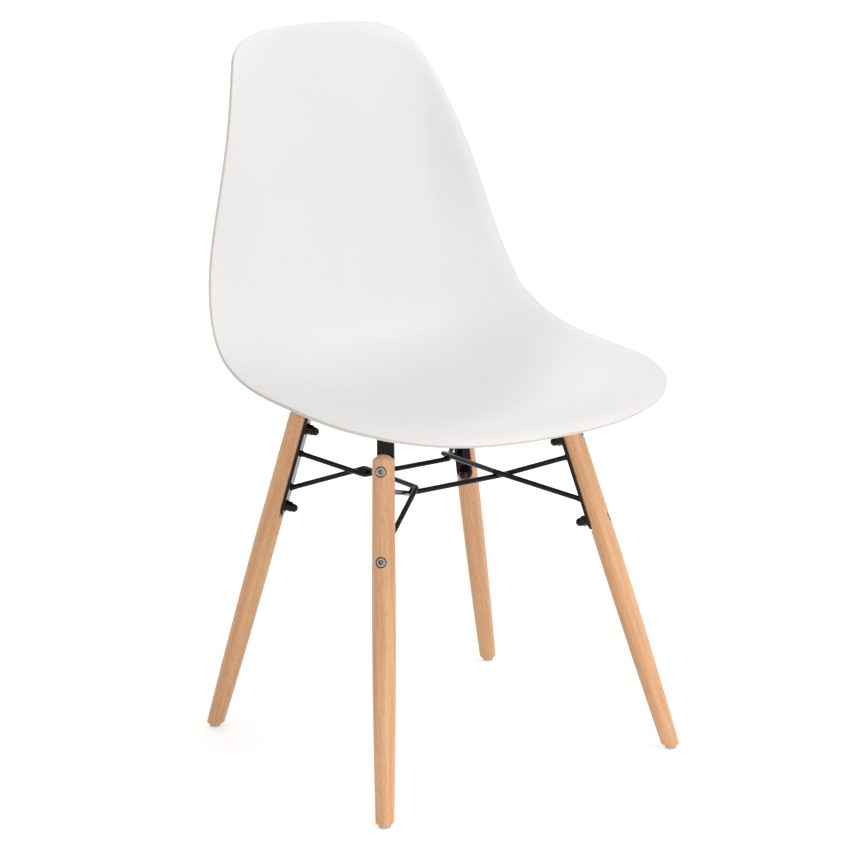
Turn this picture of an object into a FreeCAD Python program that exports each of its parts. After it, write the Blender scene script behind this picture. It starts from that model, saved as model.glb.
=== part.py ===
import FreeCAD, Part
import math
import os

from FreeCAD import Vector

# Moulded plastic shell chair: one thin shell for seat and back, four turned wooden legs,
# flat steel brackets, and four bent wires that tie the brackets together.
# Millimetres. Z is up, the chair faces -Y, and the origin is on the floor in the middle of the chair.

# Seat height: from the floor to the faces of the bosses under the seat
BOSS_FACE_HEIGHT = 400.0

# Shell
SHELL_WALL = 4.5
# Cross sections from the front edge, over the seat and up the back.
# Each row: y of the upper face in the middle, its height above the boss faces, half width,
# and how far the sides stand above the middle.
SHELL_SECTIONS = [
    (-255.5, 10.0, 215.5, -9.0),
    (-240.0, 17.5, 216.0, -6.5),
    (-215.0, 24.0, 217.0, 0.0),
    (-165.0, 26.0, 219.0, 10.0),
    (-90.0, 21.5, 224.0, 23.0),
    (-10.0, 15.0, 225.0, 36.0),
    (60.0, 14.5, 219.5, 49.5),
    (115.0, 27.0, 214.0, 59.0),
    (152.0, 56.0, 210.0, 59.0),
    (173.0, 100.0, 204.5, 53.5),
    (185.0, 160.0, 192.5, 46.5),
    (191.0, 220.0, 176.5, 45.0),
    (195.5, 280.0, 158.5, 41.0),
    (201.5, 340.0, 139.0, 29.0),
    (209.0, 390.0, 121.5, 11.5),
    (211.0, 418.0, 112.5, -1.5),
]
# How sharply the sides curl up: 2 is an even bowl, more is flatter in the middle
SIDE_CURL = 2.4
# The outline's rounded corners: length along the shell, and fullness (2 is an ellipse)
FRONT_CORNER = 159.0
FRONT_FULLNESS = 2.5
TOP_CORNER = 46.0
TOP_FULLNESS = 3.2

# Bosses under the seat
BOSS_RADIUS = 17.0
INSERT_RADIUS = 5.0
INSERT_LENGTH = 12.0

# Pads between bosses and brackets
PAD_RADIUS = 13.0
PAD_THICKNESS = 3.0
TAB_TOP = BOSS_FACE_HEIGHT - PAD_THICKNESS

# Legs: where the middle line of a leg meets the floor, and where it is at the reference height
FRONT_FOOT_X = 192.0
FRONT_FOOT_Y = 193.4
REAR_FOOT_X = 196.4
REAR_FOOT_Y = 192.9
AXIS_REFERENCE_HEIGHT = 380.0
FRONT_LEG_X = 121.4
FRONT_LEG_Y = 101.8
REAR_LEG_X = 108.6
REAR_LEG_Y = 106.5
# A leg swells a little between its foot and its top
LEG_RADIUS = 13.0
LEG_WIDEST_HEIGHT = 250.0
LEG_TOP_RADIUS = 11.9
LEG_FOOT_RADIUS = 10.1
# A leaning front leg's length from the floor is this much less than the height of the boss faces
LEG_SHORTFALL = 3.0
# The rear legs are longer than the front ones
REAR_LEG_EXTRA = 13.0
LEG_DOME_HEIGHT = 6.5
LEG_DOME_EDGE_RADIUS = 2.5
LEG_FOOT_CHAMFER = 0.8

# Leg bolts: the upper one's distance below the top of the leg, and the distance between them
UPPER_BOLT_DROP = 19.6
BOLT_SPACING = 96.5
BOLT_RADIUS = 3.0
BOLT_HEAD_RADIUS = 5.4
BOLT_HEAD_HEIGHT = 3.6
BOLT_SOCKET_ACROSS = 5.0
BOLT_SOCKET_DEPTH = 2.4
COUNTERBORE_RADIUS = 6.2
COUNTERBORE_FLOOR = 7.8
HOLE_CLEARANCE = 0.3
THREAD_CLEARANCE = 0.05
WASHER_RADIUS = 7.0
WASHER_THICKNESS = 1.2
NUT_ACROSS = 11.0
NUT_HEX_HEIGHT = 5.5
NUT_HEIGHT = 13.0
NUT_CAP_RADIUS = 4.9
NUT_BORE_DEPTH = 9.5
BOLT_END_GAP = 1.0

# Brackets
BAR_WIDTH = 19.0
BAR_THICKNESS = 3.5
BAR_SEAT_OFFSET = 9.4
BAR_OVERHANG = 11.5
BAR_BEND_RADIUS = 5.0
TAB_REACH = 22.0
FLAT_OVERRUN = 2.0

# Seat screws
SEAT_SCREW_RADIUS = 3.0
SEAT_SCREW_ENGAGEMENT = 9.0
SEAT_SCREW_HEAD_RADIUS = 5.6
SEAT_SCREW_HEAD_HEIGHT = 3.4
SEAT_SCREW_RECESS_RADIUS = 3.2
SEAT_SCREW_RECESS_WIDTH = 1.2
SEAT_SCREW_RECESS_DEPTH = 1.5
SEAT_WASHER_RADIUS = 7.5
SEAT_WASHER_THICKNESS = 1.2

# Wires
WIRE_RADIUS = 3.0
WIRE_BEND_RADIUS = 6.5
CROSS_WIRE_DROP = 84.3
CROSS_WIRE_HEIGHT = BOSS_FACE_HEIGHT - CROSS_WIRE_DROP
FRONT_WIRE_BEND_X = 62.0
FRONT_WIRE_Y = -52.0
REAR_WIRE_BEND_X = 58.0
REAR_WIRE_Y = 50.0
SIDE_WIRE_X = 53.0
SIDE_WIRE_BEND_Y = 56.0
# Welds: below the upper bolts for the front and rear wires, above the lower bolts for the side wires
FRONT_WELD_DROP = 20.0
REAR_WELD_DROP = 32.0
FRONT_SIDE_WELD_RISE = 26.0
REAR_SIDE_WELD_RISE = 21.5
WELD_OFFSET = 4.0

# Glides
GLIDE_RADIUS = 6.5
GLIDE_DOME_RADIUS = 14.0
GLIDE_THICKNESS = 3.8
GLIDE_FLAT_DEPTH = 0.15
NAIL_RADIUS = 1.0
NAIL_LENGTH = 16.0
NAIL_HEAD_RADIUS = 2.5
NAIL_HEAD_THICKNESS = 0.8

# How finely the shell's form and outline are laid out
FORM_ROW_COUNT = 24
FORM_COLUMN_COUNT = 11
FORM_OVERHANG_SHARE = 1.06
OUTLINE_POINT_COUNT = 40

UP = Vector(0, 0, 1)


def save(name, pieces, shift):
    """Writes one node: one piece, or a group of equal pieces."""
    shape = pieces[0] if len(pieces) == 1 else Part.makeCompound(pieces)
    if not shape.isValid():
        raise ValueError(name + " is not a valid shape")
    shape.translated(shift).exportStep("parts/" + name + ".step")


# Shell surface


def natural_spline(xs, ys):
    """Returns a smooth function through the points (x, y), straight at both ends."""
    n = len(xs)
    second = [0.0] * n
    work = [0.0] * n
    for i in range(1, n - 1):
        before = xs[i] - xs[i - 1]
        after = xs[i + 1] - xs[i]
        slope_change = (ys[i + 1] - ys[i]) / after - (ys[i] - ys[i - 1]) / before
        share = before / (before + after)
        p = share * second[i - 1] + 2.0
        second[i] = (share - 1.0) / p
        work[i] = (6.0 * slope_change / (before + after) - share * work[i - 1]) / p
    second[n - 1] = 0.0
    for i in range(n - 2, -1, -1):
        second[i] = second[i] * second[i + 1] + work[i]

    def value(x):
        k = 0
        while k < n - 2 and x > xs[k + 1]:
            k += 1
        width = xs[k + 1] - xs[k]
        a = (xs[k + 1] - x) / width
        b = (x - xs[k]) / width
        bend = ((a ** 3 - a) * second[k] + (b ** 3 - b) * second[k + 1]) * width ** 2 / 6.0
        return a * ys[k] + b * ys[k + 1] + bend

    return value


class ShellForm:
    """The upper face of the shell, by distance along its middle line and share of its half width."""

    def __init__(self):
        stations = [0.0]
        for first, second in zip(SHELL_SECTIONS, SHELL_SECTIONS[1:]):
            stations.append(stations[-1] + math.hypot(second[0] - first[0], second[1] - first[1]))
        self.length = stations[-1]
        columns = list(zip(*SHELL_SECTIONS))
        self.y, self.height, self.half_width, self.rise = [natural_spline(stations, c) for c in columns]

    def point(self, along, across):
        step = 0.5
        direction = Vector(
            0,
            self.y(along + step) - self.y(along - step),
            self.height(along + step) - self.height(along - step),
        )
        direction.normalize()
        normal = Vector(0, -direction.z, direction.y)
        middle = Vector(self.half_width(along) * across, self.y(along), BOSS_FACE_HEIGHT + self.height(along))
        return middle + normal * self.rise(along) * abs(across) ** SIDE_CURL

    def under_height(self, x, y):
        """Height of the shell's lower face on the seat, straight below or above a point."""
        low, high = 0.0, self.length / 2.0
        for _ in range(40):
            along = (low + high) / 2.0
            if self.y(along) < y:
                low = along
            else:
                high = along
        across = abs(x) / self.half_width(along)
        return self.point(along, across).z - SHELL_WALL

    def outline(self, count):
        """Evenly spaced (along, across) pairs round the edge, from the middle of the front."""
        corner = [math.pi / 2.0 * k / 200 for k in range(201)]
        half = []
        for angle in corner:
            along = FRONT_CORNER * (1.0 - math.cos(angle) ** (2.0 / FRONT_FULLNESS))
            half.append((along, math.sin(angle) ** (2.0 / FRONT_FULLNESS)))
        side = self.length - FRONT_CORNER - TOP_CORNER
        half += [(FRONT_CORNER + side * k / 200, 1.0) for k in range(1, 200)]
        for angle in reversed(corner):
            along = self.length - TOP_CORNER * (1.0 - math.cos(angle) ** (2.0 / TOP_FULLNESS))
            half.append((along, math.sin(angle) ** (2.0 / TOP_FULLNESS)))
        points = [self.point(*pair) for pair in half]
        travel = [0.0]
        for first, second in zip(points, points[1:]):
            travel.append(travel[-1] + (second - first).Length)
        picked = []
        k = 0
        for i in range(count + 1):
            target = travel[-1] * i / count
            while k < len(travel) - 2 and travel[k + 1] < target:
                k += 1
            share = (target - travel[k]) / (travel[k + 1] - travel[k])
            first, second = half[k], half[k + 1]
            picked.append(tuple(a + (b - a) * share for a, b in zip(first, second)))
        return picked + [(along, -across) for along, across in reversed(picked[1:-1])]


def shell_skin(form):
    """The trimmed upper face, thickened downwards into the shell's wall."""
    grid = []
    for i in range(FORM_ROW_COUNT):
        along = form.length * i / (FORM_ROW_COUNT - 1)
        steps = [2.0 * j / (FORM_COLUMN_COUNT - 1) - 1.0 for j in range(FORM_COLUMN_COUNT)]
        grid.append([form.point(along, FORM_OVERHANG_SHARE * step) for step in steps])
    surface = Part.BSplineSurface()
    surface.interpolate(grid)
    edge_inset = 0.2
    flat_points = []
    for along, across in form.outline(OUTLINE_POINT_COUNT):
        along = min(max(along, edge_inset), form.length - edge_inset)
        flat_points.append(FreeCAD.Base.Vector2d(*surface.parameter(form.point(along, across))))
    trim = Part.Geom2d.BSplineCurve2d()
    trim.interpolate(flat_points, True)
    face = Part.Face(surface, Part.Wire([trim.toShape(surface)]))
    wall = face.makeOffsetShape(SHELL_WALL, 0.01, False, False, 0, 0, True)
    if wall.Volume < 0:
        wall.reverse()
    return wall


def seat_shell(form, fixings):
    shape = shell_skin(form)
    for centre in fixings:
        top = form.under_height(centre.x, centre.y) + SHELL_WALL / 2.0
        height = top - BOSS_FACE_HEIGHT
        boss = Part.makeCylinder(BOSS_RADIUS, height, Vector(centre.x, centre.y, BOSS_FACE_HEIGHT))
        pocket = Part.makeCylinder(INSERT_RADIUS, INSERT_LENGTH, Vector(centre.x, centre.y, BOSS_FACE_HEIGHT))
        shape = shape.fuse(boss.cut(pocket))
    return shape


# Leg units, each modelled upright round its own axis: local X points inward, Z up the leg


def frame_placement(origin, x_axis, y_axis, z_axis):
    return FreeCAD.Placement(FreeCAD.Matrix(
        x_axis.x, y_axis.x, z_axis.x, origin.x,
        x_axis.y, y_axis.y, z_axis.y, origin.y,
        x_axis.z, y_axis.z, z_axis.z, origin.z,
        0, 0, 0, 1,
    ))


def placed_at(placement, shape):
    placed = shape.copy()
    placed.Placement = placement.multiply(placed.Placement)
    return placed


class LegFrame:
    """Where one leg stands, how its own axes lie in the chair, and its heights for bolts and welds.

    The bolts and the bracket face along the chair's diagonal, also where the leg leans a little off it.
    """

    def __init__(self, side, end):
        front = end < 0
        foot_x = FRONT_FOOT_X if front else REAR_FOOT_X
        top_x = FRONT_LEG_X if front else REAR_LEG_X
        top_y = FRONT_LEG_Y if front else REAR_LEG_Y
        self.top = BOSS_FACE_HEIGHT - LEG_SHORTFALL + (0.0 if front else REAR_LEG_EXTRA)
        self.upper_bolt = self.top - UPPER_BOLT_DROP
        self.lower_bolt = self.upper_bolt - BOLT_SPACING
        self.bolts = (self.lower_bolt, self.upper_bolt)
        self.bar_end = self.lower_bolt - BAR_OVERHANG
        self.upper_weld = self.upper_bolt - (FRONT_WELD_DROP if front else REAR_WELD_DROP)
        self.lower_weld = self.lower_bolt + (FRONT_SIDE_WELD_RISE if front else REAR_SIDE_WELD_RISE)
        # Welds sit beside the middle of the bar, on the side toward the middle of the chair's width
        self.weld_across = -WELD_OFFSET * side * end
        foot_y = FRONT_FOOT_Y if front else REAR_FOOT_Y
        foot = Vector(side * foot_x, end * foot_y, 0)
        top = Vector(side * top_x, end * top_y, AXIS_REFERENCE_HEIGHT)
        self.axis = (top - foot).normalize()
        self.lean = math.acos(self.axis.z)
        diagonal = Vector(-side, -end, 0).normalize()
        across = self.axis.cross(diagonal).normalize()
        self.facing = across.cross(self.axis)
        self.placement = frame_placement(foot, self.facing, across, self.axis)
        # The bracket's bend: a level line across the bar, and the directions before and after the bend
        level = UP.cross(self.facing).normalize()
        self.tilt = math.asin(-self.facing.z)
        self.inward = level.cross(UP)
        reach = BAR_SEAT_OFFSET + BAR_THICKNESS + BAR_BEND_RADIUS
        centre_height = TAB_TOP - BAR_THICKNESS - BAR_BEND_RADIUS
        up_leg = (centre_height - self.facing.z * reach) / self.axis.z
        self.bend_centre = self.world(reach, 0, up_leg)
        self.bend_placement = frame_placement(self.bend_centre, self.facing, level, self.facing.cross(level))

    def place(self, shape):
        return placed_at(self.placement, shape)

    def world(self, x, y, z):
        return self.placement.multVec(Vector(x, y, z))

    def sole_centre(self):
        """Height along the leg of the middle of the ball that shapes the glide's sole."""
        return (GLIDE_DOME_RADIUS - GLIDE_FLAT_DEPTH) / math.cos(self.lean)

    def foot_end(self):
        """Height along the leg where the wood ends and the glide begins."""
        return self.sole_centre() - GLIDE_DOME_RADIUS + GLIDE_THICKNESS


def radial_cylinder(radius, start, length, height):
    """A cylinder that lies along the leg's local X at a height up the leg."""
    return Part.makeCylinder(radius, length, Vector(start, 0, height), Vector(1, 0, 0))


def hexagonal_prism(across, start, length, height):
    """A hexagonal prism along the leg's local X."""
    corner = across / math.sqrt(3.0)
    points = []
    for k in range(7):
        angle = math.pi / 3.0 * k
        points.append(Vector(start, corner * math.sin(angle), height + corner * math.cos(angle)))
    return Part.Face(Part.makePolygon(points)).extrude(Vector(length, 0, 0))


def leg(frame):
    bottom = frame.foot_end()
    shoulder = frame.top - LEG_DOME_HEIGHT
    dome_radius = (LEG_TOP_RADIUS ** 2 + LEG_DOME_HEIGHT ** 2) / (2.0 * LEG_DOME_HEIGHT)
    half_angle = math.asin(LEG_TOP_RADIUS / dome_radius) / 2.0
    dome_middle = Vector(
        dome_radius * math.sin(half_angle), 0, frame.top - dome_radius * (1.0 - math.cos(half_angle))
    )
    foot_edge = Vector(LEG_FOOT_RADIUS, 0, bottom + LEG_FOOT_CHAMFER)
    widest = Vector(LEG_RADIUS, 0, LEG_WIDEST_HEIGHT)
    top_edge = Vector(LEG_TOP_RADIUS, 0, shoulder)
    # Half way along the arc, a quarter of the taper is left
    arc_middle = (foot_edge + widest) * 0.5 + Vector((LEG_RADIUS - LEG_FOOT_RADIUS) / 4.0, 0, 0)
    edges = [
        Part.makeLine(Vector(0, 0, bottom), Vector(LEG_FOOT_RADIUS - LEG_FOOT_CHAMFER, 0, bottom)),
        Part.makeLine(Vector(LEG_FOOT_RADIUS - LEG_FOOT_CHAMFER, 0, bottom), foot_edge),
        Part.Arc(foot_edge, arc_middle, widest).toShape(),
        Part.makeLine(widest, top_edge),
        Part.Arc(top_edge, dome_middle, Vector(0, 0, frame.top)).toShape(),
        Part.makeLine(Vector(0, 0, frame.top), Vector(0, 0, bottom)),
    ]
    shape = Part.Face(Part.Wire(edges)).revolve(Vector(0, 0, 0), UP, 360)
    rim = [
        e for e in shape.Edges
        if abs(e.BoundBox.ZMin - shoulder) < 0.01 and abs(e.BoundBox.ZMax - shoulder) < 0.01
    ]
    shape = shape.makeFillet(LEG_DOME_EDGE_RADIUS, rim)
    flat_bottom = frame.bar_end - FLAT_OVERRUN
    flat = Part.makeBox(
        LEG_RADIUS, 3 * LEG_RADIUS, frame.top - flat_bottom,
        Vector(BAR_SEAT_OFFSET, -1.5 * LEG_RADIUS, flat_bottom),
    )
    shape = shape.cut(flat)
    for height in frame.bolts:
        hole = radial_cylinder(BOLT_RADIUS + HOLE_CLEARANCE, -2 * LEG_RADIUS, 4 * LEG_RADIUS, height)
        counterbore = radial_cylinder(
            COUNTERBORE_RADIUS, -2 * LEG_RADIUS, 2 * LEG_RADIUS - COUNTERBORE_FLOOR, height
        )
        shape = shape.cut(hole.fuse(counterbore))
    nail_hole = Part.makeCylinder(NAIL_RADIUS, NAIL_LENGTH, Vector(0, 0, bottom))
    return shape.cut(nail_hole)


def leg_bolt(height):
    nut_end = BAR_SEAT_OFFSET + BAR_THICKNESS + WASHER_THICKNESS + NUT_BORE_DEPTH
    head_start = -COUNTERBORE_FLOOR - BOLT_HEAD_HEIGHT
    head = radial_cylinder(BOLT_HEAD_RADIUS, head_start, BOLT_HEAD_HEIGHT, height)
    outer_edge = [e for e in head.Edges if abs(e.BoundBox.XMax - head_start) < 0.01]
    head = head.makeChamfer(0.5, outer_edge)
    socket = hexagonal_prism(BOLT_SOCKET_ACROSS, head_start, BOLT_SOCKET_DEPTH, height)
    shank_length = nut_end - BOLT_END_GAP + COUNTERBORE_FLOOR
    shank = radial_cylinder(BOLT_RADIUS, -COUNTERBORE_FLOOR, shank_length, height)
    return head.cut(socket).fuse(shank)


def leg_washer(height):
    start = BAR_SEAT_OFFSET + BAR_THICKNESS
    disc = radial_cylinder(WASHER_RADIUS, start, WASHER_THICKNESS, height)
    hole = radial_cylinder(BOLT_RADIUS + HOLE_CLEARANCE, start, WASHER_THICKNESS, height)
    return disc.cut(hole)


def cap_nut(height):
    start = BAR_SEAT_OFFSET + BAR_THICKNESS + WASHER_THICKNESS
    hexagon = hexagonal_prism(NUT_ACROSS, start, NUT_HEX_HEIGHT, height)
    collar_length = NUT_HEIGHT - NUT_CAP_RADIUS - NUT_HEX_HEIGHT
    collar = radial_cylinder(NUT_CAP_RADIUS, start + NUT_HEX_HEIGHT, collar_length, height)
    dome_centre = Vector(start + NUT_HEIGHT - NUT_CAP_RADIUS, 0, height)
    dome = Part.makeSphere(NUT_CAP_RADIUS, dome_centre, Vector(1, 0, 0), 0, 90, 360)
    bore = radial_cylinder(BOLT_RADIUS + THREAD_CLEARANCE, start, NUT_BORE_DEPTH, height)
    return hexagon.fuse(collar).fuse(dome).removeSplitter().cut(bore)


def bracket(frame):
    """A flat bar up the inner side of the leg, bent over into a level tab under the seat."""
    half_width = BAR_WIDTH / 2.0
    round_centre = frame.bar_end + half_width
    bar = Part.makeBox(
        BAR_THICKNESS, BAR_WIDTH, frame.top + BAR_WIDTH - round_centre,
        Vector(BAR_SEAT_OFFSET, -half_width, round_centre),
    )
    bar = bar.fuse(radial_cylinder(half_width, BAR_SEAT_OFFSET, BAR_THICKNESS, round_centre))
    for height in frame.bolts:
        bar = bar.cut(radial_cylinder(BOLT_RADIUS + HOLE_CLEARANCE, BAR_SEAT_OFFSET, BAR_THICKNESS, height))
    reach = 4 * BAR_WIDTH
    above_bend = Part.makeBox(2 * reach, 2 * reach, reach, Vector(-reach, -reach, 0))
    bar = frame.place(bar).cut(placed_at(frame.bend_placement, above_bend))
    outer_radius = BAR_BEND_RADIUS + BAR_THICKNESS
    section = Part.makePlane(BAR_THICKNESS, BAR_WIDTH, Vector(-outer_radius, -half_width, 0))
    turn = 90.0 - math.degrees(frame.tilt)
    bend = placed_at(frame.bend_placement, section.revolve(Vector(0, 0, 0), Vector(0, 1, 0), turn))
    tab_start = Vector(frame.bend_centre.x, frame.bend_centre.y, TAB_TOP - BAR_THICKNESS)
    tab_hole = tab_start + frame.inward * TAB_REACH
    side = UP.cross(frame.inward) * half_width
    tab = Part.Face(Part.makePolygon([
        tab_start - side, tab_hole - side, tab_hole + side, tab_start + side, tab_start - side,
    ])).extrude(Vector(0, 0, BAR_THICKNESS))
    tab = tab.fuse(Part.makeCylinder(half_width, BAR_THICKNESS, tab_hole))
    hole = Part.makeCylinder(SEAT_SCREW_RADIUS + HOLE_CLEARANCE, BAR_THICKNESS, tab_hole)
    return bar.fuse(bend).fuse(tab.cut(hole)).removeSplitter()


def fixing_point(frame):
    """Middle of the seat fixing that belongs to one leg, on the face of its boss."""
    centre = frame.bend_centre + frame.inward * TAB_REACH
    centre.z = BOSS_FACE_HEIGHT
    return centre


# Seat fixings


def tube(centre, outer, inner, start, length):
    origin = Vector(centre.x, centre.y, start)
    return Part.makeCylinder(outer, length, origin).cut(Part.makeCylinder(inner, length, origin))


def insert(centre):
    return tube(centre, INSERT_RADIUS, SEAT_SCREW_RADIUS + THREAD_CLEARANCE, BOSS_FACE_HEIGHT, INSERT_LENGTH)


def pad(centre):
    return tube(centre, PAD_RADIUS, SEAT_SCREW_RADIUS + HOLE_CLEARANCE, TAB_TOP, PAD_THICKNESS)


def seat_washer(centre):
    start = TAB_TOP - BAR_THICKNESS - SEAT_WASHER_THICKNESS
    return tube(centre, SEAT_WASHER_RADIUS, SEAT_SCREW_RADIUS + HOLE_CLEARANCE, start, SEAT_WASHER_THICKNESS)


def seat_screw(centre):
    head_top = TAB_TOP - BAR_THICKNESS - SEAT_WASHER_THICKNESS
    head_bottom = Vector(centre.x, centre.y, head_top - SEAT_SCREW_HEAD_HEIGHT)
    head = Part.makeCylinder(SEAT_SCREW_HEAD_RADIUS, SEAT_SCREW_HEAD_HEIGHT, head_bottom)
    lower_edge = [e for e in head.Edges if abs(e.BoundBox.ZMax - head_bottom.z) < 0.01]
    head = head.makeChamfer(SEAT_SCREW_HEAD_HEIGHT * 0.4, lower_edge)
    slot = Part.makeBox(
        SEAT_SCREW_RECESS_WIDTH, 2 * SEAT_SCREW_RECESS_RADIUS, SEAT_SCREW_RECESS_DEPTH,
        head_bottom - Vector(SEAT_SCREW_RECESS_WIDTH / 2.0, SEAT_SCREW_RECESS_RADIUS, 0),
    )
    cross_slot = slot.copy()
    cross_slot.rotate(head_bottom, UP, 90)
    recess = slot.fuse(cross_slot)
    shank_top = BOSS_FACE_HEIGHT + SEAT_SCREW_ENGAGEMENT
    shank = Part.makeCylinder(SEAT_SCREW_RADIUS, shank_top - head_top, Vector(centre.x, centre.y, head_top))
    return head.cut(recess).fuse(shank)


# Wires


def bent_wire(points):
    """A round wire along straight runs joined by arcs."""
    edges = []
    start = points[0]
    for before, corner, after in zip(points, points[1:], points[2:]):
        back = (before - corner).normalize()
        ahead = (after - corner).normalize()
        half_turn = (math.pi - back.getAngle(ahead)) / 2.0
        setback = WIRE_BEND_RADIUS * math.tan(half_turn)
        arc_start = corner + back * setback
        arc_end = corner + ahead * setback
        bisector = (back + ahead).normalize()
        centre = corner + bisector * (WIRE_BEND_RADIUS / math.cos(half_turn))
        arc_middle = centre - bisector * WIRE_BEND_RADIUS
        edges.append(Part.makeLine(start, arc_start))
        edges.append(Part.Arc(arc_start, arc_middle, arc_end).toShape())
        start = arc_end
    edges.append(Part.makeLine(start, points[-1]))
    direction = points[1] - points[0]
    circle = Part.Wire([Part.makeCircle(WIRE_RADIUS, points[0], direction)])
    return Part.Wire(edges).makePipeShell([circle], True, False)


def wire_between(joints, bends):
    """A bent wire from one bracket to another, with its ends trimmed to the brackets' faces.

    Each joint is a leg's frame and the height of the weld up that leg.
    """
    inner_face = BAR_SEAT_OFFSET + BAR_THICKNESS
    into_bar = BAR_THICKNESS * 0.9
    ends = []
    trims = []
    for (frame, weld_height), bend in zip(joints, bends):
        weld = frame.world(inner_face, frame.weld_across, weld_height)
        direction = (weld - bend).normalize()
        ends.append(weld + direction * into_bar)
        block = Part.makeBox(
            4 * BAR_THICKNESS, 3 * BAR_WIDTH, 3 * BAR_WIDTH,
            Vector(inner_face - 4 * BAR_THICKNESS, -1.5 * BAR_WIDTH, weld_height - 1.5 * BAR_WIDTH),
        )
        trims.append(frame.place(block))
    shape = bent_wire([ends[0]] + bends + [ends[1]])
    for trim in trims:
        shape = shape.cut(trim)
    return shape


def cross_wire(left, right, bend_x, y):
    """Front or rear wire: its middle run goes across the chair, and its ends rise to the upper welds."""
    bends = [Vector(x, y, CROSS_WIRE_HEIGHT) for x in (-bend_x, bend_x)]
    return wire_between([(left, left.upper_weld), (right, right.upper_weld)], bends)


def side_wire(front, rear, x):
    """Left or right wire: it lies on the cross wires, and its ends drop to the lower welds."""
    height = CROSS_WIRE_HEIGHT + 2 * WIRE_RADIUS
    bends = [Vector(x, y, height) for y in (-SIDE_WIRE_BEND_Y, SIDE_WIRE_BEND_Y)]
    return wire_between([(front, front.lower_weld), (rear, rear.lower_weld)], bends)


# Feet


def glide(frame):
    """A plastic disc with a domed sole, worn to a small level flat where it meets the floor."""
    top = frame.foot_end()
    disc = Part.makeCylinder(GLIDE_RADIUS, GLIDE_THICKNESS, Vector(0, 0, top - GLIDE_THICKNESS))
    disc = disc.common(Part.makeSphere(GLIDE_DOME_RADIUS, Vector(0, 0, frame.sole_centre())))
    pocket = Part.makeCylinder(NAIL_HEAD_RADIUS, NAIL_HEAD_THICKNESS, Vector(0, 0, top - NAIL_HEAD_THICKNESS))
    shape = frame.place(disc.cut(pocket))
    reach = 4 * GLIDE_RADIUS
    corner = frame.world(0, 0, 0) - Vector(reach, reach, GLIDE_THICKNESS)
    floor = Part.makeBox(2 * reach, 2 * reach, GLIDE_THICKNESS, corner)
    return shape.cut(floor)


def glide_nail(frame):
    top = frame.foot_end()
    head = Part.makeCylinder(NAIL_HEAD_RADIUS, NAIL_HEAD_THICKNESS, Vector(0, 0, top - NAIL_HEAD_THICKNESS))
    return head.fuse(Part.makeCylinder(NAIL_RADIUS, NAIL_LENGTH, Vector(0, 0, top)))


def main():
    os.makedirs("parts", exist_ok=True)
    front_left = LegFrame(-1, -1)
    front_right = LegFrame(1, -1)
    rear_left = LegFrame(-1, 1)
    rear_right = LegFrame(1, 1)
    frames = [front_left, front_right, rear_left, rear_right]
    fixings = [fixing_point(frame) for frame in frames]
    nodes = {
        "seat_shell": [seat_shell(ShellForm(), fixings)],
        "wire_front": [cross_wire(front_left, front_right, FRONT_WIRE_BEND_X, FRONT_WIRE_Y)],
        "wire_rear": [cross_wire(rear_left, rear_right, REAR_WIRE_BEND_X, REAR_WIRE_Y)],
        "wire_left": [side_wire(front_left, rear_left, -SIDE_WIRE_X)],
        "wire_right": [side_wire(front_right, rear_right, SIDE_WIRE_X)],
        "leg_bolts": [f.place(leg_bolt(h)) for f in frames for h in f.bolts],
        "leg_washers": [f.place(leg_washer(h)) for f in frames for h in f.bolts],
        "cap_nuts": [f.place(cap_nut(h)) for f in frames for h in f.bolts],
        "glides": [glide(f) for f in frames],
        "glide_nails": [f.place(glide_nail(f)) for f in frames],
        "seat_pads": [pad(c) for c in fixings],
        "seat_inserts": [insert(c) for c in fixings],
        "seat_screws": [seat_screw(c) for c in fixings],
        "seat_screw_washers": [seat_washer(c) for c in fixings],
    }
    for name, frame in zip(("front_left", "front_right", "rear_left", "rear_right"), frames):
        nodes["leg_" + name] = [frame.place(leg(frame))]
        nodes["bracket_" + name] = [bracket(frame)]
    # The shell is the widest and longest piece, so its middle is the middle of the chair.
    box = nodes["seat_shell"][0].optimalBoundingBox(False)
    shift = Vector(0, -box.Center.y, 0)
    for name, pieces in nodes.items():
        save(name, pieces, shift)


main()
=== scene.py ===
import math

import bpy
from mathutils import Matrix, Vector


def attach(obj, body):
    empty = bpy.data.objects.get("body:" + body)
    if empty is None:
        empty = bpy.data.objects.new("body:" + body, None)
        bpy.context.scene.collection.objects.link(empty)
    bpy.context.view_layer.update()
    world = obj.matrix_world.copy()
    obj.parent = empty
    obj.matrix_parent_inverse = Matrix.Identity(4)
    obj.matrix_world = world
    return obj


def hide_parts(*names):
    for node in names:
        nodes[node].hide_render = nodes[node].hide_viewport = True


# Looks of the moulded plastic shell chair.
# Shapes are in millimetres. Textures, lights and the camera are in metres.

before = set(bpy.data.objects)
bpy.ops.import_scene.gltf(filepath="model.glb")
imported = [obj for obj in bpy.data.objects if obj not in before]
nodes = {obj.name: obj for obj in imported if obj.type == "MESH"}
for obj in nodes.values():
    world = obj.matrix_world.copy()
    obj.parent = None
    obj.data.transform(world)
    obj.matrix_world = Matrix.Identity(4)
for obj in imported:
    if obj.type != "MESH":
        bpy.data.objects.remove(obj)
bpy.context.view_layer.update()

MM_PER_METRE = 1000.0
QUARTER_TURN = math.pi / 2.0
UP = Vector((0.0, 0.0, 1.0))
ROUNDING_STEPS = 6
# Places and directions are written for the left side. The sign on x makes them the right side's.
CORNERS = [
    ("front", "left", 1.0),
    ("front", "right", -1.0),
    ("rear", "left", 1.0),
    ("rear", "right", -1.0),
]
# The frame has the chair this far behind its place in the part's own drawing
MODEL_SHIFT_Y = 19.9
SHIFT = Vector((0.0, MODEL_SHIFT_Y, 0.0))


# Meshes


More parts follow.
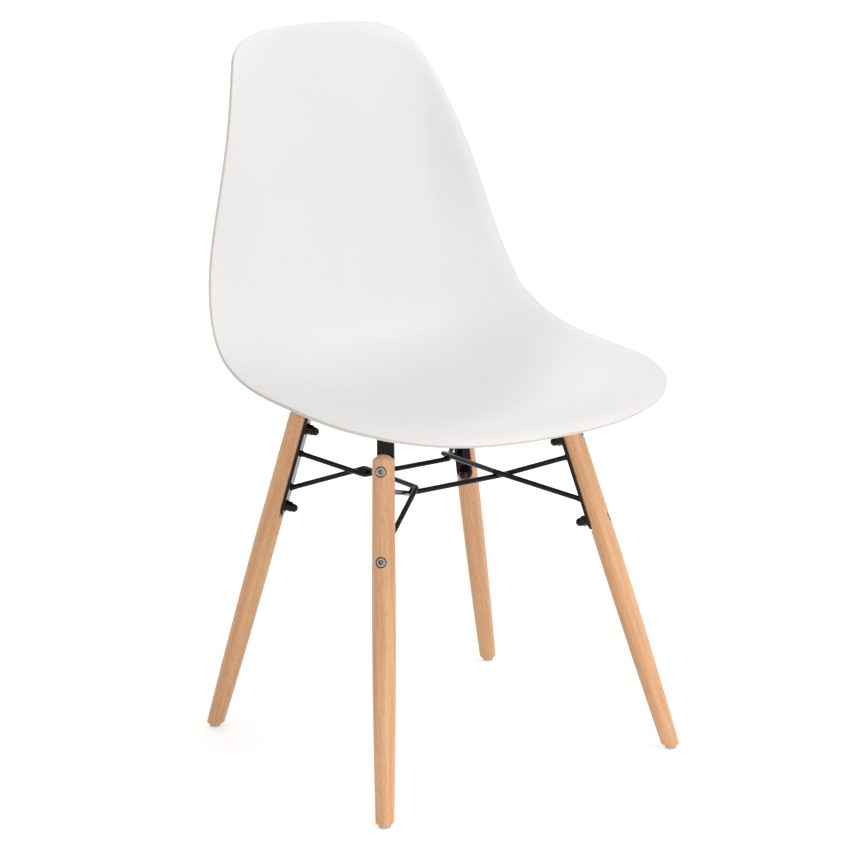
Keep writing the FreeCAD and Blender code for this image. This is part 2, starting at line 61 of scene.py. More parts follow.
def mesh_object(name, points, faces):
    """A smooth object from points in millimetres."""
    mesh = bpy.data.meshes.new(name)
    mesh.from_pydata([tuple(point / MM_PER_METRE) for point in points], [], faces)
    mesh.validate()
    mesh.update()
    for polygon in mesh.polygons:
        polygon.use_smooth = True
    made = bpy.data.objects.new(name, mesh)
    bpy.context.scene.collection.objects.link(made)
    return made


def band_faces(ring_count, around, turned_over=False):
    """The faces between neighbouring rings of points."""
    faces = []
    for ring in range(ring_count - 1):
        for i in range(around):
            j = (i + 1) % around
            near_i, near_j = ring * around + i, ring * around + j
            far_i, far_j = near_i + around, near_j + around
            if turned_over:
                faces.append((near_i, far_i, far_j, near_j))
            else:
                faces.append((near_i, near_j, far_j, far_i))
    return faces


def ring_mesh(name, rings, capped=True):
    """A skin through rings of equal point counts, with flat ends where it is capped."""
    around = len(rings[0])
    faces = band_faces(len(rings), around)
    if capped:
        faces.append(tuple(reversed(range(around))))
        faces.append(tuple((len(rings) - 1) * around + i for i in range(around)))
    return mesh_object(name, [point for ring in rings for point in ring], faces)


def circle_points(centre, normal, radius, count):
    turn = UP.rotation_difference(normal)
    points = []
    for k in range(count):
        angle = 2.0 * math.pi * k / count
        points.append(centre + turn @ Vector((radius * math.cos(angle), radius * math.sin(angle), 0.0)))
    return points


def turned_piece(name, x, y, profile, count, capped=True):
    """A round piece on an upright axis, from pairs of radius and height."""
    rings = [circle_points(Vector((x, y, height)), UP, radius, count) for radius, height in profile]
    return ring_mesh(name, rings, capped)


def dress(name, material):
    """Gives one of the part's own solids its looks."""
    target = nodes[name]
    target.data.materials.clear()
    target.data.materials.append(material)


# Materials


def set_inputs(tree, node, inputs):
    """Each input takes a number, a colour or the output of another node."""
    for socket, value in inputs.items():
        if isinstance(value, bpy.types.NodeSocket):
            tree.links.new(value, node.inputs[socket])
        else:
            node.inputs[socket].default_value = value


def add_node(tree, kind, inputs, **settings):
    node = tree.nodes.new(kind)
    for name, value in settings.items():
        setattr(node, name, value)
    set_inputs(tree, node, inputs)
    return node


def new_material(name):
    material = bpy.data.materials.new(name)
    material.use_nodes = True
    tree = material.node_tree
    return material, tree, tree.nodes["Principled BSDF"]


def object_vector(tree):
    return tree.nodes.new("ShaderNodeTexCoord").outputs["Object"]


def mapped(tree, vector, inputs):
    """The vector, turned or stretched."""
    return add_node(tree, "ShaderNodeMapping", {"Vector": vector, **inputs}).outputs["Vector"]


def noise(tree, vector, scale, detail, roughness=0.5):
    inputs = {"Vector": vector, "Scale": scale, "Detail": detail, "Roughness": roughness}
    return add_node(tree, "ShaderNodeTexNoise", inputs).outputs["Fac"]


def ramp(tree, factor, stops):
    """A colour for each value of the factor, from pairs of position and colour."""
    node = add_node(tree, "ShaderNodeValToRGB", {"Fac": factor})
    elements = node.color_ramp.elements
    while len(elements) < len(stops):
        elements.new(0.5)
    for element, (position, colour) in zip(elements, stops):
        element.position = position
        element.color = (*colour, 1.0)
    return node.outputs["Color"]


def value_range(tree, factor, low, high):
    inputs = {"Value": factor, "To Min": low, "To Max": high}
    return add_node(tree, "ShaderNodeMapRange", inputs).outputs["Result"]


def calculated(tree, operation, *terms):
    """The result of one operation on numbers or the outputs of other nodes."""
    return add_node(tree, "ShaderNodeMath", dict(enumerate(terms)), operation=operation).outputs[0]


def bumped(tree, height, strength, distance):
    inputs = {"Height": height, "Strength": strength, "Distance": distance}
    return add_node(tree, "ShaderNodeBump", inputs).outputs["Normal"]


def mixed(tree, factor, first, second, blend="MIX"):
    """The second colour laid over the first, as far as the factor says."""
    node = add_node(tree, "ShaderNodeMix", {"Factor": factor}, data_type="RGBA", blend_type=blend)
    places = [k for k, socket in enumerate(node.inputs) if socket.type == "RGBA"]
    set_inputs(tree, node, dict(zip(places, (first, second))))
    return [socket for socket in node.outputs if socket.type == "RGBA"][0]


# Depths of fine textures, in metres
TEXTURE_DEPTH = 0.0002
FLECK_DEPTH = 0.0003


def shell_plastic(name, dull, clear):
    """Satin plastic with a faint drift of its colour and a very fine texture."""
    material, tree, shader = new_material(name)
    vector = object_vector(tree)
    broad = noise(tree, vector, scale=6.0, detail=2.0)
    medium = noise(tree, vector, scale=60.0, detail=3.0)
    fine = noise(tree, vector, scale=1400.0, detail=2.0)
    set_inputs(tree, shader, {
        "Base Color": ramp(tree, broad, [(0.3, dull), (0.7, clear)]),
        "Roughness": value_range(tree, medium, 0.40, 0.50),
        "Normal": bumped(tree, fine, strength=0.06, distance=TEXTURE_DEPTH),
        "IOR": 1.49,
    })
    return material


GRAIN_STRETCH = (1.0, 1.0, 0.04)
FLECK_STRETCH = (1.0, 1.0, 0.11)
GROWTH_RING_WEIGHT = 0.07
WOOD_COLOURS = [
    (0.36, (0.75, 0.385, 0.178)),
    (0.53, (0.83, 0.45, 0.222)),
    (0.70, (0.885, 0.51, 0.267)),
]
FLECK_COLOUR = (0.60, 0.265, 0.11, 1.0)
FLECK_STRENGTH = 0.5
FLECK_MASK = [(0.53, (0.0, 0.0, 0.0)), (0.66, (1.0, 1.0, 1.0))]


def beech(name, axis, slant, turn):
    """Pale wood with grain, flecks and faint growth rings that run along one leg."""
    material, tree, shader = new_material(name)
    upright = axis.rotation_difference(UP).to_euler()
    in_leg = mapped(tree, object_vector(tree), {"Rotation": upright})
    stretched = mapped(tree, in_leg, {"Scale": GRAIN_STRETCH})
    grain = noise(tree, stretched, scale=170.0, detail=4.0, roughness=0.55)
    # The growth rings are cut at a slant, so that they run out along the leg
    slant, turn = math.radians(slant), math.radians(turn)
    rings = add_node(tree, "ShaderNodeTexWave", {
        "Vector": mapped(tree, in_leg, {"Rotation": (slant, slant, turn)}),
        "Scale": 55.0,
        "Distortion": 1.6,
        "Detail": 2.0,
        "Detail Scale": 0.5,
    })
    figure = calculated(tree, "MULTIPLY_ADD", rings.outputs["Fac"], GROWTH_RING_WEIGHT, grain)
    flecks = noise(tree, mapped(tree, in_leg, {"Scale": FLECK_STRETCH}), scale=1300.0, detail=2.0)
    fleck_share = calculated(tree, "MULTIPLY", ramp(tree, flecks, FLECK_MASK), FLECK_STRENGTH)
    set_inputs(tree, shader, {
        "Base Color": mixed(tree, fleck_share, ramp(tree, figure, WOOD_COLOURS), FLECK_COLOUR),
        "Roughness": value_range(tree, grain, 0.38, 0.52),
        "Normal": bumped(tree, flecks, strength=0.12, distance=FLECK_DEPTH),
        "Coat Weight": 0.15,
        "Coat Roughness": 0.3,
    })
    return material


# How far the roughness of a plain material wanders down and up
ROUGHNESS_DROP = 0.06
ROUGHNESS_RISE = 0.08


def plain_material(name, dark, light, roughness, metallic, bump, specular=0.5):
    """One colour with small blotches, for the metal, rubber and plastic parts."""
    material, tree, shader = new_material(name)
    vector = object_vector(tree)
    broad = noise(tree, vector, scale=120.0, detail=3.0)
    fine = noise(tree, vector, scale=1800.0, detail=2.0)
    set_inputs(tree, shader, {
        "Base Color": ramp(tree, broad, [(0.3, dark), (0.7, light)]),
        "Roughness": value_range(tree, broad, roughness - ROUGHNESS_DROP, roughness + ROUGHNESS_RISE),
        "Metallic": metallic,
        "Specular IOR Level": specular,
        "Normal": bumped(tree, fine, strength=bump, distance=TEXTURE_DEPTH),
    })
    return material


# Colours of the painted shade, from the most closed-in recess to an open surface
RECESS_SHADE_COLOURS = [(0.25, (0.12, 0.11, 0.10)), (0.75, (1.0, 1.0, 1.0))]


def add_painted_recess_shade(material, reach):
    """Painted shade: darkens the colour in corners and recesses, such as a bolt's socket, by how closed
    in they are.
    """
    tree = material.node_tree
    shader = tree.nodes["Principled BSDF"]
    unshaded = shader.inputs["Base Color"].links[0].from_socket
    occlusion = add_node(tree, "ShaderNodeAmbientOcclusion", {"Distance": reach}, samples=8)
    painted_shade = ramp(tree, occlusion.outputs["AO"], RECESS_SHADE_COLOURS)
    set_inputs(tree, shader, {"Base Color": mixed(tree, 1.0, unshaded, painted_shade, "MULTIPLY")})


white = shell_plastic("shell_plastic", (0.812, 0.80, 0.785), (0.832, 0.822, 0.807))
# A darker, warmer copy of the shell plastic for the rim's edge faces; its darker tone is painted shade
edge_white_painted_shade = shell_plastic("shell_edge_painted_shade", (0.77, 0.72, 0.66), (0.80, 0.755, 0.695))
black = plain_material(
    "black_coat", (0.005, 0.0045, 0.004), (0.009, 0.008, 0.007),
    roughness=0.14, metallic=0.0, bump=0.05, specular=0.19,
)
black_plated = plain_material(
    "black_plating", (0.007, 0.0065, 0.006), (0.012, 0.011, 0.010),
    roughness=0.2, metallic=0.0, bump=0.05, specular=0.19,
)
nickel = plain_material(
    "nickel", (0.30, 0.285, 0.255), (0.42, 0.40, 0.365), roughness=0.2, metallic=1.0, bump=0.12
)
# Painted shade in the bolts' sockets and in the recesses round their heads
add_painted_recess_shade(nickel, reach=0.005)
zinc = plain_material(
    "zinc", (0.5, 0.51, 0.52), (0.62, 0.63, 0.64), roughness=0.32, metallic=1.0, bump=0.05
)
brass = plain_material(
    "brass", (0.60, 0.42, 0.2), (0.7, 0.52, 0.26), roughness=0.3, metallic=1.0, bump=0.05
)
rubber = plain_material(
    "rubber", (0.012, 0.012, 0.012), (0.02, 0.02, 0.02), roughness=0.75, metallic=0.0, bump=0.3
)
glide_white = plain_material(
    "glide_plastic", (0.60, 0.585, 0.565), (0.68, 0.665, 0.645), roughness=0.35, metallic=0.0, bump=0.03
)


# Shell

# The shell's cross sections, as in the part's source: y of the upper face in the middle,
# its height above the boss faces, half width, and how far the sides stand above the middle
SHELL_SECTIONS = [
    (-255.5, 10.0, 215.5, -9.0),
    (-240.0, 17.5, 216.0, -6.5),
    (-215.0, 24.0, 217.0, 0.0),
    (-165.0, 26.0, 219.0, 10.0),
    (-90.0, 21.5, 224.0, 23.0),
    (-10.0, 15.0, 225.0, 36.0),
    (60.0, 14.5, 219.5, 49.5),
    (115.0, 27.0, 214.0, 59.0),
    (152.0, 56.0, 210.0, 59.0),
    (173.0, 100.0, 204.5, 53.5),
    (185.0, 160.0, 192.5, 46.5),
    (191.0, 220.0, 176.5, 45.0),
    (195.5, 280.0, 158.5, 41.0),
    (201.5, 340.0, 139.0, 29.0),
    (209.0, 390.0, 121.5, 11.5),
    (211.0, 418.0, 112.5, -1.5),
]
SIDE_CURL = 2.4
FRONT_CORNER = 159.0
FRONT_FULLNESS = 2.5
TOP_CORNER = 46.0
TOP_FULLNESS = 3.2
SHELL_WALL = 3.9
RIM_ROUNDING = 0.9
# Near the rim the shell turns outwards by this much, and it takes the turn up again over the fade
LIP_WIDTH = 20.0
LIP_TURN = 3.0
LIP_FADE = 110.0

# The net of the mesh: samples of each part of the outline, points on half the rim,
# steps of each quarter round, rings close to the rim, and even rings from there to the centre
OUTLINE_SAMPLES = 400
RIM_POINTS = 200
RIM_STEPS = 4
RING_INSETS = [RIM_ROUNDING, 2.5, 4.0, 6.0, 8.5, 11.5, 15.0, 19.0, 24.0, 30.0]
INNER_RINGS = 34
CENTRE_SHARE = 0.42
END_MARGIN = 0.6
SLOPE_STEP = 0.5

# Bosses under the shell, where the brackets are fixed: x and y on the left side
FIXINGS = {"front": (-90.862, -71.159), "rear": (-77.787, 75.692)}
BOSS_FACE_HEIGHT = 400.0
BOSS_RADIUS = 17.0
BOSS_BORE = 5.0
BOSS_BORE_DEPTH = 12.0
BOSS_BORE_CHAMFER = 0.6
BOSS_RIM_RADIUS = 1.0
BOSS_RIM_MIDDLE = 0.3
BOSS_FILLET_DROP = 8.0
BOSS_FILLET_WIDTH = 5.0
BOSS_FILLET_HEIGHT = 7.0
BOSS_OVERLAP = 1.5
BOSS_POINTS = 64
HALVINGS = 40


def natural_spline(xs, ys):
    """Returns a smooth function through the points (x, y), straight at both ends."""
    n = len(xs)
    second = [0.0] * n
    work = [0.0] * n
    for i in range(1, n - 1):
        before = xs[i] - xs[i - 1]
        after = xs[i + 1] - xs[i]
        slope_change = (ys[i + 1] - ys[i]) / after - (ys[i] - ys[i - 1]) / before
        share = before / (before + after)
        p = share * second[i - 1] + 2.0
        second[i] = (share - 1.0) / p
        work[i] = (6.0 * slope_change / (before + after) - share * work[i - 1]) / p
    for i in range(n - 2, -1, -1):
        second[i] = second[i] * second[i + 1] + work[i]

    def value(x):
        k = 0
        while k < n - 2 and x > xs[k + 1]:
            k += 1
        width = xs[k + 1] - xs[k]
        a = (xs[k + 1] - x) / width
        b = (x - xs[k]) / width
        bend = ((a ** 3 - a) * second[k] + (b ** 3 - b) * second[k + 1]) * width ** 2 / 6.0
        return a * ys[k] + b * ys[k + 1] + bend

    return value


stations = [0.0]
for first, second in zip(SHELL_SECTIONS, SHELL_SECTIONS[1:]):
    stations.append(stations[-1] + math.hypot(second[0] - first[0], second[1] - first[1]))
SHELL_LENGTH = stations[-1]
section_curves = [natural_spline(stations, column) for column in zip(*SHELL_SECTIONS)]
middle_y, middle_height, half_width, rise = section_curves


def shell_point(along, across):
    """A point of the upper face: how far along the middle line, and the share of the half width."""
    direction = Vector((
        0.0,
        middle_y(along + SLOPE_STEP) - middle_y(along - SLOPE_STEP),
        middle_height(along + SLOPE_STEP) - middle_height(along - SLOPE_STEP),
    ))
    direction.normalize()
    normal = Vector((0.0, -direction.z, direction.y))
    height = BOSS_FACE_HEIGHT + middle_height(along)
    middle = Vector((half_width(along) * across, middle_y(along) + MODEL_SHIFT_Y, height))
    return middle + normal * rise(along) * abs(across) ** SIDE_CURL


def shell_normal(along, across):
    share = SLOPE_STEP / half_width(along)
    forward = shell_point(along + SLOPE_STEP, across) - shell_point(along - SLOPE_STEP, across)
    sideways = shell_point(along, across + share) - shell_point(along, across - share)
    return sideways.cross(forward).normalized()


def rounded_end(length, fullness):
    """From the middle of an end round to the side: how far in from the end, and how far across."""
    points = []
    for k in range(OUTLINE_SAMPLES + 1):
        angle = QUARTER_TURN * k / OUTLINE_SAMPLES
        inward = length * (1.0 - max(math.cos(angle), 0.0) ** (2.0 / fullness))
        points.append((inward, math.sin(angle) ** (2.0 / fullness)))
    return points


def outline():
    """Evenly spaced (along, across) pairs round the edge, from the middle of the front."""
    half = rounded_end(FRONT_CORNER, FRONT_FULLNESS)
    side = SHELL_LENGTH - FRONT_CORNER - TOP_CORNER
    half += [(FRONT_CORNER + side * k / OUTLINE_SAMPLES, 1.0) for k in range(1, OUTLINE_SAMPLES)]
    top_end = rounded_end(TOP_CORNER, TOP_FULLNESS)
    half += [(SHELL_LENGTH - inward, across) for inward, across in reversed(top_end)]
    points = [shell_point(*pair) for pair in half]
    travel = [0.0]
    for start, end in zip(points, points[1:]):
        travel.append(travel[-1] + (end - start).length)
    picked = []
    k = 0
    for i in range(RIM_POINTS + 1):
        target = travel[-1] * i / RIM_POINTS
        while k < len(travel) - 2 and travel[k + 1] < target:
            k += 1
        share = (target - travel[k]) / (travel[k + 1] - travel[k])
        picked.append(tuple(a + (b - a) * share for a, b in zip(half[k], half[k + 1])))
    return picked + [(along, -across) for along, across in reversed(picked[1:-1])]


def ring_depth(level, reach):
    """How far inside the rim a ring lies, where the rim is this far from the centre."""
    if level < len(RING_INSETS):
        return RING_INSETS[level]
    share = (level - len(RING_INSETS) + 1) / INNER_RINGS
    return RING_INSETS[-1] + (reach - RING_INSETS[-1]) * share


def skin_pair(along, across, depth):
    """A point of the upper face with the turned lip, and the point of the lower face under it."""
    point = shell_point(along, across)
    normal = shell_normal(along, across)
    turn = LIP_TURN * (1.0 - max(0.0, 1.0 - depth / LIP_WIDTH) ** 2)
    fade = max(0.0, 1.0 - max(0.0, depth - LIP_WIDTH) / LIP_FADE)
    point = point + normal * turn * fade ** 2 * (3.0 - 2.0 * fade)
    return point, point - normal * SHELL_WALL


def rim_points(upper, lower, outward):
    """From the upper face to the lower one: a quarter round, a short flat and a quarter round."""
    normal = (upper - lower).normalized()
    outward = (outward - normal * outward.dot(normal)).normalized()
    angles = [QUARTER_TURN * step / RIM_STEPS for step in range(RIM_STEPS + 1)]
    points = []
    for angle in angles[1:]:
        offset = outward * RIM_ROUNDING * math.sin(angle) + normal * RIM_ROUNDING * math.cos(angle)
        points.append(upper - normal * RIM_ROUNDING + offset)
    points.append((upper + lower) / 2.0 + outward * RIM_ROUNDING)
    for angle in angles[:-1]:
        offset = outward * RIM_ROUNDING * math.cos(angle) - normal * RIM_ROUNDING * math.sin(angle)
        points.append(lower + normal * RIM_ROUNDING + offset)
    return points


def build_shell():
    """Rings from the centre of the upper face out to the rim, round it, and back on the lower face."""
    edge = outline()
    around = len(edge)
    centre_along = SHELL_LENGTH * CENTRE_SHARE
    centre = shell_point(centre_along, 0.0)
    reaches = [(shell_point(*pair) - centre).length for pair in edge]
    top, bottom = [], []
    for level in range(len(RING_INSETS) + INNER_RINGS):
        pairs = []
        for (along, across), reach in zip(edge, reaches):
            depth = ring_depth(level, reach)
            inward = depth / reach
            ring_along = along + (centre_along - along) * inward
            ring_along = min(max(ring_along, END_MARGIN), SHELL_LENGTH - END_MARGIN)
            pairs.append(skin_pair(ring_along, across * (1.0 - inward), depth))
        top_ring, bottom_ring = zip(*pairs)
        top.append(top_ring)
        bottom.append(bottom_ring)
    rim = [rim_points(top[0][i], bottom[0][i], top[0][i] - top[2][i]) for i in range(around)]
    rim_rings = list(zip(*rim))
    rings = top[-2::-1] + rim_rings + bottom[:-1]
    points = [point for ring in rings for point in ring]
    faces = band_faces(len(rings), around, turned_over=True)
    # A centre point closes each face of the shell
    points.append(centre)
    points.append(centre - shell_normal(centre_along, 0.0) * SHELL_WALL)
    last = (len(rings) - 1) * around
    for i in range(around):
        j = (i + 1) % around
        faces.append((len(points) - 2, i, j))
        faces.append((len(points) - 1, last + j, last + i))
    made = mesh_object("seat_shell_skin", points, faces)
    # The rim's faces take the second material, the darker copy with painted shade
    first_rim_face = (len(top) - 1) * around
    last_rim_face = (len(top) + len(rim_rings) - 1) * around
    for polygon in made.data.polygons[first_rim_face:last_rim_face]:
        polygon.material_index = 1
    return made


def station_at(y):
    """How far along its middle line the seat passes this y, found by halving."""
    low, high = 0.0, SHELL_LENGTH / 2.0
    for _ in range(HALVINGS):
        along = (low + high) / 2.0
        if middle_y(along) < y:
            low = along
        else:
            high = along
    return along


def build_boss(name, x, y, top):
    """A moulded boss with a bore for the insert, a softened rim and a fillet into the shell."""
    profile = [
        (BOSS_BORE, BOSS_FACE_HEIGHT + BOSS_BORE_DEPTH),
        (BOSS_BORE, BOSS_FACE_HEIGHT + BOSS_BORE_CHAMFER),
        (BOSS_BORE + BOSS_BORE_CHAMFER, BOSS_FACE_HEIGHT),
        (BOSS_RADIUS - BOSS_RIM_RADIUS, BOSS_FACE_HEIGHT),
        (BOSS_RADIUS - BOSS_RIM_MIDDLE, BOSS_FACE_HEIGHT + BOSS_RIM_MIDDLE),
        (BOSS_RADIUS, BOSS_FACE_HEIGHT + BOSS_RIM_RADIUS),
    ]
    fillet_start = top - BOSS_FILLET_DROP
    for k in range(ROUNDING_STEPS + 1):
        angle = QUARTER_TURN * k / ROUNDING_STEPS
        radius = BOSS_RADIUS + BOSS_FILLET_WIDTH * (1.0 - math.cos(angle))
        profile.append((radius, fillet_start + BOSS_FILLET_HEIGHT * math.sin(angle)))
    return turned_piece(name, x, y + MODEL_SHIFT_Y, profile, BOSS_POINTS, capped=False)


shell = build_shell()
shell.data.materials.append(white)
shell.data.materials.append(edge_white_painted_shade)
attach(shell, "root")
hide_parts("seat_shell")

for end, side, sign in CORNERS:
    x, y = FIXINGS[end]
    along = station_at(y)
    underside = shell_point(along, abs(x) / half_width(along)).z - SHELL_WALL
    boss = build_boss("seat_boss_" + end + "_" + side, x * sign, y, underside + BOSS_OVERLAP)
    boss.data.materials.append(white)
    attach(boss, "root")


# Welds

WIRE_RADIUS = 3.0
WELD_SKIN = 0.1
WELD_FLARE = 1.2
WELD_LENGTH = 4.0
WELD_RINGS = 7
WELD_POINTS = 28
# On the left side: the way the bracket's face looks, and the middle of each weld
# with the wire's bend that is nearest to it
WELDS = {
    "front": {
        "facing": (0.685, 0.669, -0.2885),
        "upper": ((-116.8, -105.2, 338.3), (-62.0, -52.0, 315.7)),
        "lower": ((-125.8, -116.8, 290.0), (-53.0, -56.0, 321.7)),
    },
    "rear": {
        "facing": (0.6721, -0.6732, -0.3084),
        "upper": ((-106.1, 109.5, 336.9), (-58.0, 50.0, 315.7)),
        "lower": ((-115.6, 118.8, 296.0), (-53.0, 56.0, 321.7)),
    },
}
# Round spots that close the corners where two wires cross, on the left side
CROSSINGS = {"front": (-57.6, -54.0, 318.7), "rear": (-55.8, 52.8, 318.7)}
CROSSING_RADIUS = 3.5
CROSSING_STEPS = 12


def weld_bead(name, foot, bend, facing):
    """A fillet of weld that flares from the wire onto the face of the bracket."""
    along = (bend - foot).normalized()
    rings = []
    for k in range(WELD_RINGS):
        share = k / (WELD_RINGS - 1)
        normal = facing.lerp(along, share).normalized()
        radius = WIRE_RADIUS + WELD_SKIN + WELD_FLARE * (1.0 - share) ** 2
        rings.append(circle_points(foot + along * WELD_LENGTH * share, normal, radius, WELD_POINTS))
    return ring_mesh(name, rings)


for end, side, sign in CORNERS:
    mirror = Matrix.Diagonal((sign, 1.0, 1.0))
    facing = mirror @ Vector(WELDS[end]["facing"])
    for level in ("upper", "lower"):
        foot, bend = [mirror @ Vector(place) + SHIFT for place in WELDS[end][level]]
        bead = weld_bead("weld_" + level + "_" + end + "_" + side, foot, bend, facing)
        bead.data.materials.append(black)
        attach(bead, "root")

for end, side, sign in CORNERS:
    x, y, z = CROSSINGS[end]
    profile = []
    for k in range(1, CROSSING_STEPS):
        angle = math.pi * k / CROSSING_STEPS
        profile.append((CROSSING_RADIUS * math.sin(angle), z - CROSSING_RADIUS * math.cos(angle)))
    name = "weld_crossing_" + end + "_" + side
    spot = turned_piece(name, x * sign, y + MODEL_SHIFT_Y, profile, WELD_POINTS)
    spot.data.materials.append(black)
    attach(spot, "root")


# Legs and glides

# On the left side: where each leg's axis meets the floor, and how far it leans over its rise
LEG_FOOT = {"front": (-192.0, -193.4), "rear": (-196.4, 192.9)}
LEG_LEAN = {"front": (70.6, 91.6), "rear": (87.8, -86.4)}
LEG_RISE = 380.0
# How far the growth rings slant across the leg and turn about it, in degrees
LEG_GRAIN = {
    "front_left": (2.0, 20.0),
    "front_right": (2.5, 75.0),
    "rear_left": (2.0, 130.0),
    "rear_right": (8.0, 40.0),
}
# Height of the level sole above the floor
SOLE_HEIGHT = 4.9
# The part's own glide is a dome: the height of its ball's middle, how far below that its leg ends,
# and how far above its end the leg still moves with the level cut
BALL_HEIGHT = 13.85
SOLE_BELOW_BALL = 10.2
FOOT_END = 1.5
GLIDE_RADIUS = 6.6
GLIDE_INNER_RADIUS = 1.5
GLIDE_EDGE = 1.4
GLIDE_SHOULDER_DROP = 1.0
GLIDE_SHOULDER_INSET = 0.5
GLIDE_GAP = 0.1
GLIDE_POINTS = 48


def level_leg(corner, foot, axis):
    """A copy of the leg with its sole cut level with the floor, so that the glide lies flat."""
    source = nodes["leg_" + corner]
    piece = bpy.data.objects.new("leg_level_" + corner, source.data.copy())
    piece.matrix_world = source.matrix_world
    bpy.context.scene.collection.objects.link(piece)
    piece.data.materials.clear()
    back_to_local = source.matrix_world.inverted()
    cut = BALL_HEIGHT / axis.z - SOLE_BELOW_BALL
    for vertex in piece.data.vertices:
        point = source.matrix_world @ vertex.co
        above_sole = (point - foot).dot(axis) * MM_PER_METRE - cut
        if above_sole < FOOT_END:
            climb = (SOLE_HEIGHT + above_sole) / MM_PER_METRE - point.z
            vertex.co = back_to_local @ (point + axis * climb / axis.z)
    return piece


def level_glide(corner, foot, axis):
    """A flat moulded disc with a rounded lower edge, under the middle of the sole."""
    middle = (foot + axis * SOLE_HEIGHT / 2.0 / MM_PER_METRE / axis.z) * MM_PER_METRE
    profile = [(GLIDE_INNER_RADIUS, 0.0)]
    for k in range(ROUNDING_STEPS + 1):
        angle = QUARTER_TURN * k / ROUNDING_STEPS
        radius = GLIDE_RADIUS - GLIDE_EDGE + GLIDE_EDGE * math.sin(angle)
        profile.append((radius, GLIDE_EDGE - GLIDE_EDGE * math.cos(angle)))
    profile.append((GLIDE_RADIUS, SOLE_HEIGHT - GLIDE_SHOULDER_DROP))
    profile.append((GLIDE_RADIUS - GLIDE_SHOULDER_INSET, SOLE_HEIGHT - GLIDE_GAP))
    profile.append((GLIDE_INNER_RADIUS, SOLE_HEIGHT - GLIDE_GAP))
    return turned_piece("glide_level_" + corner, middle.x, middle.y, profile, GLIDE_POINTS)


for end, side, sign in CORNERS:
    corner = end + "_" + side
    foot_x, foot_y = LEG_FOOT[end]
    lean_x, lean_y = LEG_LEAN[end]
    foot = Vector((foot_x * sign, foot_y + MODEL_SHIFT_Y, 0.0)) / MM_PER_METRE
    axis = Vector((lean_x * sign, lean_y, LEG_RISE)).normalized()
    leg = level_leg(corner, foot, axis)
    leg.data.materials.append(beech("beech_" + corner, axis, *LEG_GRAIN[corner]))
    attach(leg, "root")
    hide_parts("leg_" + corner)
    glide = level_glide(corner, foot, axis)
    glide.data.materials.append(glide_white)
    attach(glide, "root")
    dress("bracket_" + corner, black)
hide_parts("glides")

for place in ("front", "rear", "left", "right"):
    dress("wire_" + place, black)
dress("leg_bolts", nickel)
dress("leg_washers", black_plated)
dress("cap_nuts", black_plated)
dress("seat_pads", rubber)
dress("seat_inserts", brass)
dress("seat_screws", zinc)
dress("seat_screw_washers", zinc)
dress("glide_nails", zinc)


# Floor and world

FLOOR_HALF = 40000.0
FLOOR_SHADE = 0.85
# The floor's own glow, which grows from the near radius to the far one, in metres
NEAR_GLOW = 0.46
FAR_GLOW = 0.6
NEAR_RADIUS = 0.5
FAR_RADIUS = 1.3
WORLD_LIGHT = 0.58
PURE_WHITE = (1.0, 1.0, 1.0, 1.0)


def seen_directly(tree):
    """1 where the camera, a reflection or a clear surface looks, 0 where light only bounces."""
    path = tree.nodes.new("ShaderNodeLightPath")
    total = path.outputs["Is Camera Ray"]
    for name in ("Is Glossy Ray", "Is Transmission Ray"):
        total = calculated(tree, "MAXIMUM", total, path.outputs[name])
    return total


def floor_surface():
    """Pale and lit from within where it is looked at, and clear from below."""
    material, tree, shader = new_material("floor")
    distance = add_node(tree, "ShaderNodeVectorMath", {0: object_vector(tree)}, operation="LENGTH")
    spread = add_node(tree, "ShaderNodeMapRange", {
        "Value": distance.outputs["Value"],
        "From Min": NEAR_RADIUS,
        "From Max": FAR_RADIUS,
        "To Min": NEAR_GLOW,
        "To Max": FAR_GLOW,
    })
    set_inputs(tree, shader, {
        "Base Color": (FLOOR_SHADE, FLOOR_SHADE, FLOOR_SHADE, 1.0),
        "Roughness": 0.9,
        "Specular IOR Level": 0.0,
        "Emission Color": PURE_WHITE,
        "Emission Strength": calculated(tree, "MULTIPLY", spread.outputs["Result"], seen_directly(tree)),
    })
    sides = add_node(tree, "ShaderNodeMixShader", {
        0: tree.nodes.new("ShaderNodeNewGeometry").outputs["Backfacing"],
        1: shader.outputs["BSDF"],
        2: tree.nodes.new("ShaderNodeBsdfTransparent").outputs["BSDF"],
    })
    set_inputs(tree, tree.nodes["Material Output"], {"Surface": sides.outputs["Shader"]})
    return material


floor_corners = [
    Vector((x * FLOOR_HALF, y * FLOOR_HALF, 0.0))
    for x, y in ((-1.0, -1.0), (1.0, -1.0), (1.0, 1.0), (-1.0, 1.0))
]
floor = mesh_object("floor", floor_corners, [(0, 1, 2, 3)])
floor.data.materials.append(floor_surface())

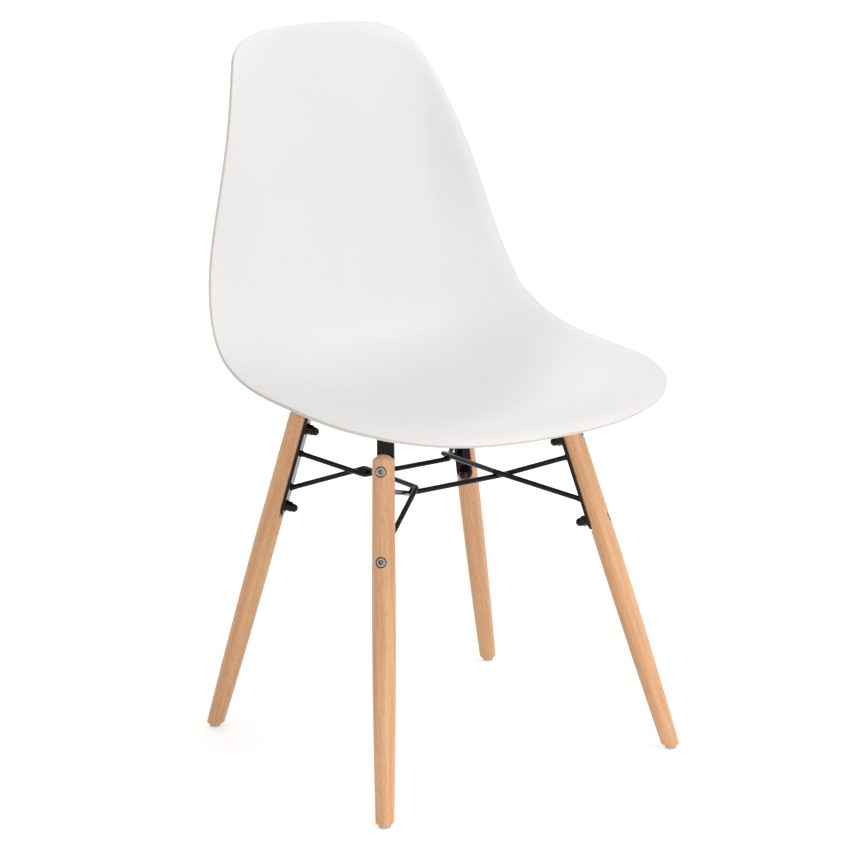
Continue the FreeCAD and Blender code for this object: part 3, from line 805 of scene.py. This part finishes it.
world = bpy.data.worlds.new("studio")
world.use_nodes = True
bpy.context.scene.world = world
world_tree = world.node_tree
set_inputs(world_tree, world_tree.nodes["Background"], {
    "Color": PURE_WHITE,
    "Strength": value_range(world_tree, seen_directly(world_tree), WORLD_LIGHT, 1.0),
})


# Lamps

LAMP_AIM = Vector((0.0, 0.0, 0.45))


def area_light(name, place, size, power):
    """A square lamp that looks at the middle of the chair, with its power in watts."""
    data = bpy.data.lights.new(name, "AREA")
    data.shape = "SQUARE"
    data.size = size
    data.energy = power
    lamp = bpy.data.objects.new(name, data)
    lamp.location = place
    lamp.rotation_euler = (LAMP_AIM - Vector(place)).to_track_quat("-Z", "Y").to_euler()
    bpy.context.scene.collection.objects.link(lamp)


area_light("key", (1.0, -1.5, 3.2), size=2.0, power=39.0)
area_light("front fill", (-0.1, -2.8, 0.47), size=0.9, power=15.0)
area_light("rear fill", (0.8, 2.4, 1.9), size=2.2, power=14.0)


# Camera, solved from the photograph

AZIMUTH = math.radians(-31.641)
PITCH = math.radians(13.425)
ROLL = math.radians(-2.055)
DISTANCE = 2.72127
TARGET = Vector((0.0, 0.0276, 0.37298))
FOCAL_PIXELS = 2391.87
PICTURE_PIXELS = 850.0
SENSOR = 36.0

back = Vector((
    math.sin(AZIMUTH) * math.cos(PITCH),
    -math.cos(AZIMUTH) * math.cos(PITCH),
    math.sin(PITCH),
))
right = Vector((math.cos(AZIMUTH), math.sin(AZIMUTH), 0.0))
up = back.cross(right)
rolled_right = right * math.cos(ROLL) + up * math.sin(ROLL)
rolled_up = up * math.cos(ROLL) - right * math.sin(ROLL)
camera_turn = Matrix((rolled_right, rolled_up, back)).transposed().to_4x4()
camera_data = bpy.data.cameras.new("camera")
camera_data.sensor_width = SENSOR
camera_data.lens = FOCAL_PIXELS / PICTURE_PIXELS * SENSOR
camera = bpy.data.objects.new("camera", camera_data)
bpy.context.scene.collection.objects.link(camera)
camera.matrix_world = Matrix.Translation(TARGET + back * DISTANCE) @ camera_turn
bpy.context.scene.camera = camera
bpy.context.scene.view_settings.view_transform = "Standard"
